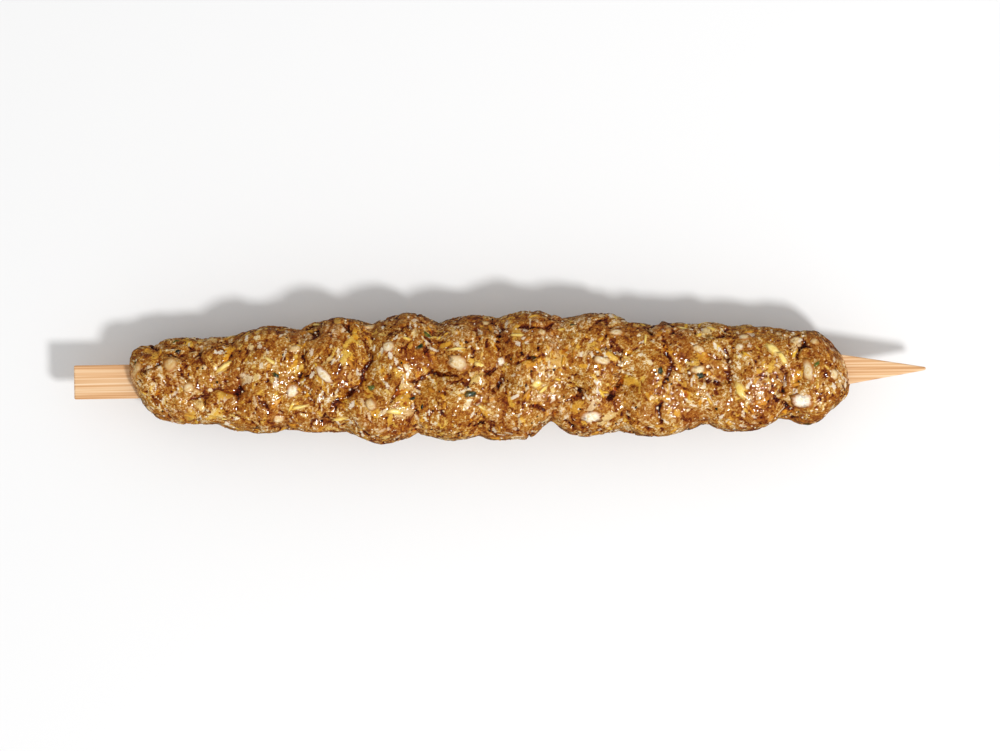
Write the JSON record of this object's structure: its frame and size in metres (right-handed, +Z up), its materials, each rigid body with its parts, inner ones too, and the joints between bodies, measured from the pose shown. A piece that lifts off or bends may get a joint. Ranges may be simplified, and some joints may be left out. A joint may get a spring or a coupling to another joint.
{
  "type": "raw kofta skewer",
  "caption": "Raw kofta skewer: spiced mince pressed by hand in uneven lobes round a flat wooden stick with one square end and one pointed end.",
  "frame": {"origin": "on the ground under the middle of the stick's length and width", "axes": "+X along the stick towards its point, +Y towards the back of the mince, +Z up"},
  "size_m": [0.2, 0.031, 0.0252],
  "materials": {
    "spiced_mince": "raw spiced minced meat, moist and glossy, with pale onion and fat bits, herb flecks and pepper",
    "skewer_wood": "pale planed wood, straight grain, unvarnished"
  },
  "bodies": {
    "root": {"mince": "spiced_mince", "stick": "skewer_wood"}
  },
  "joints": []
}
